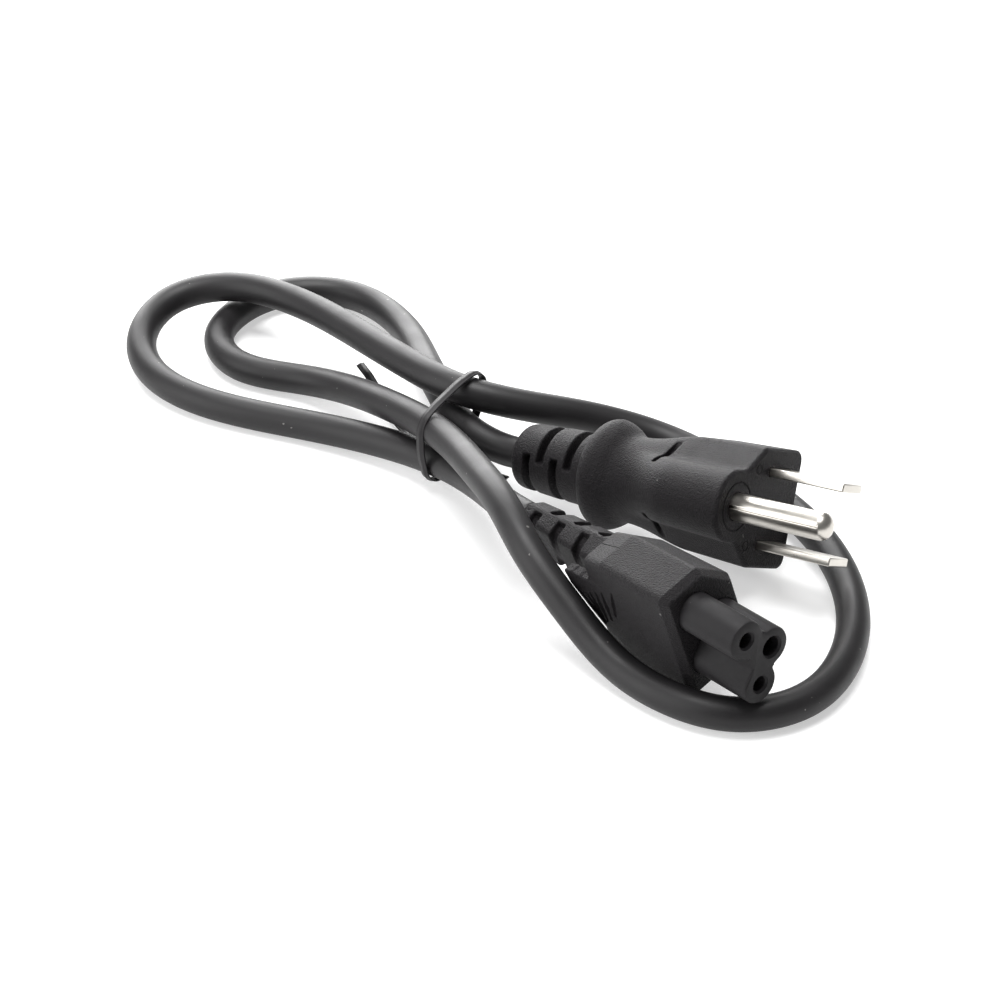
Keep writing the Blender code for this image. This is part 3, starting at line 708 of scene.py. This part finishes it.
def makePin(spec):
    radius = spec["pinRadius"]
    profile = [(-spec["pinRoot"], radius)]
    for step in range(15):
        angle = math.radians(6 * step)
        back = radius * spec["tipRound"] * (1 - math.sin(angle))
        profile.append((spec["pinLength"] - back, radius * math.cos(angle)))
    profile.append((spec["pinLength"], radius * spec["tipFlat"]))
    pin = turnProfile("earthPin", profile, (0.0, spec["pinOffset"]), 72)
    top = spec["pinOffset"] + radius
    half = spec["slitWidth"] / 2
    low, high = top - spec["slitDepth"], top + 0.002
    cutWith(pin, [addBox((-spec["slitStart"], -half, low), (spec["slitRun"], half, high))])
    applyModifier(
        pin, "BEVEL", width=spec["slitEdge"], segments=2, limit_method="ANGLE", angle_limit=math.radians(50))
    pick(pin)
    bpy.ops.object.shade_smooth_by_angle(angle=math.radians(35))
    return pin


for side, node in ((1, "line_blade"), (-1, "neutral_blade")):
    finishPiece(makeBlade(prongSpec, side), plugMatrix, nickelPlating, "plating", node)
earthPin = makePin(prongSpec)
finishPiece(earthPin, plugMatrix, nickelPlating, "plating", "ground_pin")
print("prongs made")


# connector body, measured from the line between the two live bores
shellSpec = {
    "rim": (0.0110, 0.0051, 0.0037, 0.0092, 0.0052, 0.0014),
    "housing": (0.0104, 0.0049, 0.0036, 0.0088, 0.0048, 0.0014),
    "neck": (0.0088, 0.0043, 0.0034, 0.0076, 0.0040, 0.0012),
    "bevel": 0.0009, "bevelRun": 0.0016, "axisHeight": 0.0022, "noseLength": 0.0120, "housingEnd": 0.0287,
    "neckEnd": 0.0334, "tailStart": 0.0341, "tailRoot": (0.0069, 0.0050), "tailTip": (0.0040, 0.0037),
    "tailRound": 0.0010, "length": 0.0570,
    "slots": ((0.0372, 90), (0.0404, -90), (0.0436, 90), (0.0468, -90), (0.0500, 90), (0.0532, -90)),
    "slotWidth": 0.0021, "slotDepth": 0.0014, "slotReach": 84,
    "flutes": (
        (-0.0365, -0.0005, -0.0318, 0.0050), (-0.0348, -0.0010, -0.0315, 0.0045),
        (-0.0335, -0.0017, -0.0318, 0.0040), (-0.0318, -0.0026, -0.0310, 0.0040),
        (-0.0300, -0.0036, -0.0296, 0.0030), (-0.0269, -0.0050, -0.0281, 0.0012),
    ),
    "fluteRadius": 0.0006, "fluteDepth": 0.00022,
    "tongue": (
        (-0.0270, -0.0052, 0.0003), (-0.0345, -0.0045, 0.0010), (-0.0372, -0.0045, 0.0010),
        (-0.0395, -0.0038, 0.0005), (-0.0386, -0.0010, 0.0010), (-0.0352, 0.0030, 0.0020),
        (-0.0316, 0.0067, 0.0020), (-0.0270, 0.0086, 0.0010),
    ),
    "tongueHeights": (-0.00492, -0.0030), "ragged": (0.00010, 0.00008), "raggedBelow": -0.0040,
    "parting": (-0.0282, -0.0334, 0.00008, 0.00012, 0.00014),
    "voxel": 0.0002, "passes": 2,
}


def hexagon(halfWidth, base, shoulder, top, topHalfWidth, corner):  # one broad corner is sharper
    return roundCorners([
        (-halfWidth, -base, corner), (halfWidth + 0.0002, -base, corner * 0.5), (halfWidth, shoulder, corner),
        (topHalfWidth, top, corner), (-topHalfWidth, top, corner), (-halfWidth, shoulder, corner),
    ], 8)


def cutFlutes(spec):  # shallow grooves that fan out over the broad side
    cutters = []
    radius, depth = spec["fluteRadius"], spec["fluteDepth"]
    for x0, y0, x1, y1 in spec["flutes"]:
        run = math.hypot(x1 - x0, y1 - y0)
        profile = ((0.0, radius * 0.3), (run * 0.5, radius), (run, radius * 0.5))
        flute = turnProfile("flute", profile, sides=24)
        base = spec["tongueHeights"][0] + depth
        z0, z1 = base - radius * 0.3, base - radius * 0.5
        heading = Vector((x1 - x0, y1 - y0, z1 - z0)).to_track_quat("X", "Z").to_matrix().to_4x4()
        flute.matrix_world = Matrix.Translation((x0, y0, z0)) @ heading
        pick(flute)
        bpy.ops.object.transform_apply(location=True, rotation=True, scale=True)
        cutters.append(flute)
    return cutters


def makeTongue(spec):  # thin plate of the broad side that runs on under the tail, one edge ragged
    outline = fillSides(roundCorners(spec["tongue"], 6), 0.0004)
    low, high = spec["tongueHeights"]
    coarse, fine = spec["ragged"]
    shaped = []
    for index, (x, y) in enumerate(outline):
        ragged = 0.0
        if y < spec["raggedBelow"]:
            ragged = coarse * math.sin(index * 2.3) + fine * math.sin(index * 5.1)
        shaped.append((x, y + ragged))
    return extrudeSections("tongue", [[(x, y, low) for x, y in shaped], [(x, y, high) for x, y in shaped]])


def cutParting(spec):
    front, rear, z, width, depth = spec["parting"]
    sections = []
    for x in (front, rear):
        share = (-x - spec["housingEnd"]) / (spec["neckEnd"] - spec["housingEnd"])
        y = -(spec["housing"][0] + (spec["neck"][0] - spec["housing"][0]) * share)
        sections.append([
            (x, y + depth, z - width / 2), (x, y + depth, z + width / 2),
            (x, y - 0.001, z + width / 2), (x, y - 0.001, z - width / 2)])
    return extrudeSections("parting", sections)


def mouldConnector(spec):
    rim, housing, neck = (hexagon(*spec[name]) for name in ("rim", "housing", "neck"))
    start = spec["noseLength"]
    sections = [
        atDepth(start, insetOutline(rim, spec["bevel"])), atDepth(start + spec["bevelRun"], rim),
        atDepth(spec["housingEnd"], housing), atDepth(spec["neckEnd"], neck),
    ]
    tailEnd = spec["length"] - spec["tailRound"]
    (rootWide, rootHigh), (tipWide, tipHigh) = spec["tailRoot"], spec["tailTip"]
    for distance, wide, high in (
        (spec["tailStart"], rootWide, rootHigh), (tailEnd, tipWide, tipHigh),
        (spec["length"] - spec["tailRound"] * 0.5, tipWide - spec["tailRound"] * 0.13,
         tipHigh - spec["tailRound"] * 0.13),
        (spec["length"], tipWide - spec["tailRound"], tipHigh - spec["tailRound"]),
    ):
        sections.append(atDepth(distance, ovalLike(neck, wide, high, spec["axisHeight"])))
    body = extrudeSections("connectorMoulding", sections)
    cutters = []
    for distance, facing in spec["slots"]:
        share = (distance - spec["tailStart"]) / (tailEnd - spec["tailStart"])
        wide = rootWide + (tipWide - rootWide) * share
        high = rootHigh + (tipHigh - rootHigh) * share
        cutters.append(spinSlot(spec, distance, facing, wide, high))
    cutWith(body, cutters)
    applyModifier(body, "BOOLEAN", object=makeTongue(spec), operation="UNION", solver="EXACT")
    bpy.data.objects.remove(bpy.data.objects["tongue"], do_unlink=True)
    return body


# connector nose: three joined lobes, each with a stepped bore
noseSpec = {
    "spacing": 0.0100, "earthOffset": 0.0042, "lobeRadius": 0.0034, "valley": 0.00035,
    "length": shellSpec["noseLength"],
    "root": 0.0050, "edge": 0.0004, "sides": 240, "webWidth": 0.36, "webPlace": 0.36, "webHeight": 0.6,
    "liveBore": (0.00135, 0.0019), "earthBore": (0.00175, 0.0023), "mouth": 0.0020, "depth": 0.0125,
    "boreRim": 0.0003, "seatGap": 0.0001, "seatFront": 0.0090, "seatRear": 0.0173,
}


def noseOutline(spec, grow):
    centres = ((-spec["spacing"] / 2, 0.0), (spec["spacing"] / 2, 0.0), (0.0, spec["earthOffset"]))
    middle = spec["earthOffset"] * spec["webPlace"]
    valley = spec["valley"]

    def outside(a, b):
        total = sum(math.exp(-(math.hypot(a - y, b - z) - spec["lobeRadius"]) / valley) for y, z in centres)
        wide = abs(a) - spec["spacing"] * spec["webWidth"]
        tall = abs(b - middle) - spec["lobeRadius"] * spec["webHeight"]
        return -valley * math.log(total + math.exp(-max(wide, tall) / valley))

    outline = []
    for i in range(spec["sides"]):
        angle = 2 * math.pi * (i + 0.5) / spec["sides"]
        c, s = math.cos(angle), math.sin(angle)
        near, far = 0.0, spec["spacing"]
        for _ in range(36):
            reach = (near + far) / 2
            if outside(reach * c, middle + reach * s) < grow:
                near = reach
            else:
                far = reach
        outline.append(np.array((near * c, middle + near * s)))
    return outline


def mouldNose(spec):
    full = noseOutline(spec, 0.0)
    edge = spec["edge"]
    sections = [
        atDepth(0.0, noseOutline(spec, -edge)),
        atDepth(edge * 0.3, noseOutline(spec, -edge * 0.3)),
        atDepth(edge, full),
        atDepth(spec["length"] + spec["root"], full),
    ]
    nose = extrudeSections("connectorNose", sections)
    cutters = []
    for centre, (mouth, chamber) in (
        ((-spec["spacing"] / 2, 0.0), spec["liveBore"]),
        ((spec["spacing"] / 2, 0.0), spec["liveBore"]),
        ((0.0, spec["earthOffset"]), spec["earthBore"]),
    ):
        cutters.append(turnProfile("bore", (
            (0.003, mouth + spec["boreRim"]), (-0.0001, mouth + spec["boreRim"]), (-0.0004, mouth),
            (-spec["mouth"], mouth), (-spec["mouth"] - (chamber - mouth), chamber), (-spec["depth"], chamber),
        ), centre, 48))
    cutWith(nose, cutters)
    pick(nose)
    bpy.ops.object.shade_smooth_by_angle(angle=math.radians(30))
    return nose


connectorMoulding = mouldConnector(shellSpec)
soften(connectorMoulding, shellSpec["voxel"], shellSpec["passes"])
seatOutline = noseOutline(noseSpec, noseSpec["seatGap"])
seat = extrudeSections(
    "seat", [atDepth(noseSpec["seatFront"], seatOutline), atDepth(noseSpec["seatRear"], seatOutline)])
cutWith(connectorMoulding, [seat, *cutFlutes(shellSpec), cutParting(shellSpec)])
finishPiece(connectorMoulding, connectorMatrix, mouldedVinyl, "moulding", "connector_body")
connectorNose = mouldNose(noseSpec)
finishPiece(connectorNose, connectorMatrix, nosePlastic, "nose", "connector_nose")
print("connector moulded", len(connectorMoulding.data.polygons))


# tie: a flat ribbon with a round wire in its middle, wrapped once about the four strands
tieSpec = {
    "place": (-0.0398, 0.0436, 0.0100), "bearing": -40.0, "halfWidth": 0.00085, "web": 0.00012,
    "wire": 0.00044, "wireSpread": 0.00042, "reach": 0.0006, "pitch": 0.0026, "first": -78, "turn": 336,
    "steps": 120, "bulge": 16.0, "ease": 3.0,
    "leftTail": (
        (-0.0586, 0.0732, 0.0050), (-0.0569, 0.0712, 0.0037), (-0.0552, 0.0680, 0.0025),
        (-0.0520, 0.0600, 0.0012), (-0.0484, 0.0527, 0.0010),
    ),
    "rightTail": ((-0.0328, 0.0391, 0.0016), (-0.0308, 0.0366, 0.0024)),
}


def wrapReach(outline, angle):  # distance from the middle to the wrapped outline at an angle
    c, s = math.cos(angle), math.sin(angle)
    best = 0.0
    for here, ahead in zip(outline, outline[1:] + outline[:1]):
        span = ahead - here
        base = c * span[1] - s * span[0]
        if abs(base) > 1e-12:
            share = (here[0] * s - here[1] * c) / base
            if -1e-9 <= share <= 1 + 1e-9:
                best = max(best, (here[0] * span[1] - here[1] * span[0]) / base)
    return best


def evenOut(ring, spread):  # smooth values that go round a circle
    offsets = np.arange(-3 * int(spread), 3 * int(spread) + 1)
    weights = np.exp(-0.5 * (offsets / spread) ** 2)
    return sum(weight * np.roll(ring, offset) for offset, weight in zip(offsets, weights)) / weights.sum()


def wrapTie(spec):
    turn = math.radians(spec["bearing"])
    along = np.array((math.cos(turn), math.sin(turn), 0.0))
    across = np.array((-math.sin(turn), math.cos(turn), 0.0))
    rise = np.array((0.0, 0.0, 1.0))
    fromPlace = cordLine - np.array(spec["place"])
    heading = np.gradient(cordLine, axis=0)
    heading = heading / np.linalg.norm(heading, axis=1)[:, None]
    offsets = fromPlace @ along
    spots = []
    for i in np.flatnonzero(offsets[:-1] * offsets[1:] < 0):  # where a strand goes through the tie's plane
        share = offsets[i] / (offsets[i] - offsets[i + 1])
        crossing = fromPlace[i] + (fromPlace[i + 1] - fromPlace[i]) * share
        reach = cordSpec["diameter"] / 2 / abs(heading[i] @ along) + spec["reach"]
        for angle in map(math.radians, range(0, 360, 3)):
            spots.append((crossing @ across + reach * math.cos(angle), crossing[2] + reach * math.sin(angle)))
    spots = np.array(spots)
    middle = (spots.max(axis=0) + spots.min(axis=0)) / 2
    sketch = bmesh.new()
    for a, b in spots:
        sketch.verts.new((a, b, 0.0))
    wrapped = bmesh.ops.convex_hull(sketch, input=sketch.verts)
    kept = set(wrapped["geom"])
    outline = [np.array(vertex.co[:2]) - middle for vertex in sketch.verts if vertex in kept]
    sketch.free()
    outline.sort(key=lambda p: math.atan2(p[1], p[0]))
    centre = np.array(spec["place"]) + across * middle[0] + rise * middle[1]
    angles = np.radians(np.arange(360))
    reaches = np.array([wrapReach(outline, angle) for angle in angles])
    bulged = np.maximum(reaches, evenOut(reaches, spec["bulge"]))  # stiff wire stands off between the strands
    reaches = evenOut(bulged, spec["ease"])
    path = [np.array(point) for point in spec["leftTail"]]
    outward = [-rise] * len(path)
    for step in range(spec["steps"] + 1):
        share = step / spec["steps"]
        angle = math.radians(spec["first"] + spec["turn"] * share)
        radial = across * math.cos(angle) + rise * math.sin(angle)
        reach = np.interp(math.degrees(angle) % 360, np.arange(361), (*reaches, reaches[0]))
        path.append(centre + radial * reach + along * spec["pitch"] * (share - 0.5))
        outward.append(radial)
    path += [np.array(point) for point in spec["rightTail"]]
    outward += [-rise] * len(spec["rightTail"])
    profile = []
    for side in (1, -1):  # across the ribbon's outer face and back along its inner face
        for step in range(9):
            a = spec["halfWidth"] * (step / 4 - 1) * side
            crown = spec["wire"] * math.exp(-(a / spec["wireSpread"]) ** 2) / 2
            profile.append((a, side * (spec["web"] + crown)))
    corners = []
    for i, point in enumerate(path):
        ahead = path[min(i + 1, len(path) - 1)] - path[max(i - 1, 0)]
        side = np.cross(ahead, outward[i])
        side = side / np.linalg.norm(side)
        out = np.cross(side, ahead)
        out = out / np.linalg.norm(out)
        corners += [tuple(point + side * a + out * b) for a, b in profile]
    mesh = bpy.data.meshes.new("tieRibbon")
    mesh.from_pydata(corners, [], tubeFaces(len(path), len(profile)))
    return closeTube(mesh)


tieRibbon = wrapTie(tieSpec)
finishPiece(tieRibbon, Matrix.Identity(4), tieCoating, "tie", "twist_tie")
print("tie wrapped")


# sleeves of the contacts, kept as the solids
for name in ("line_contact", "neutral_contact", "earth_contact"):
    sleeve = cadNodes[name]
    sleeve.data.materials.clear()
    sleeve.data.materials.append(sleeveBrass)


# studio
studioSpec = {
    "floorSize": 4.0, "floorTone": (0.56, 0.56, 0.56), "floorGlow": 0.50,
    "worldTone": (1.0, 1.0, 1.0), "worldStrength": 0.22,
    "lamps": (
        ("topLamp", (-0.10, 0.05, 1.10), 0.70, 20.0),
        ("backLamp", (-0.25, 1.00, 0.42), 0.90, 23.0),
        ("leftLamp", (-0.93, -0.30, 0.42), 0.90, 10.0),
    ),
}


def buildStudio(spec):
    clearSelection()
    bpy.ops.mesh.primitive_plane_add(size=spec["floorSize"], location=(0.0, 0.0, -0.0002))
    floor = bpy.context.object
    floor.name = "studioFloor"
    finish, shader, wire = startFinish("floorPaper", spec["floorTone"], 0.9)
    place = wire.node("ShaderNodeTexCoord", output="Object")
    cloud = wire.node("ShaderNodeTexNoise", {}, {"Vector": place, "Scale": 3.0, "Detail": 2.0})
    feed(shader, Roughness=cloud * 0.1 + 0.85)
    shader.inputs["Emission Color"].default_value = (1.0, 1.0, 1.0, 1.0)
    shader.inputs["Emission Strength"].default_value = spec["floorGlow"]
    floor.data.materials.append(finish)
    bpy.context.scene.view_settings.view_transform = "Standard"
    world = bpy.data.worlds.new("studioWorld")
    world.use_nodes = True
    background = world.node_tree.nodes["Background"]
    background.inputs["Color"].default_value = (*spec["worldTone"], 1.0)
    background.inputs["Strength"].default_value = spec["worldStrength"]
    bpy.context.scene.world = world
    for name, place, size, power in spec["lamps"]:
        lampData = bpy.data.lights.new(name, "AREA")
        lampData.size = size
        lampData.energy = power
        lamp = bpy.data.objects.new(name, lampData)
        lamp.location = place
        lamp.rotation_euler = (Vector(place) * -1.0).to_track_quat("-Z", "Y").to_euler()
        bpy.context.scene.collection.objects.link(lamp)


buildStudio(studioSpec)
print("studio lit")
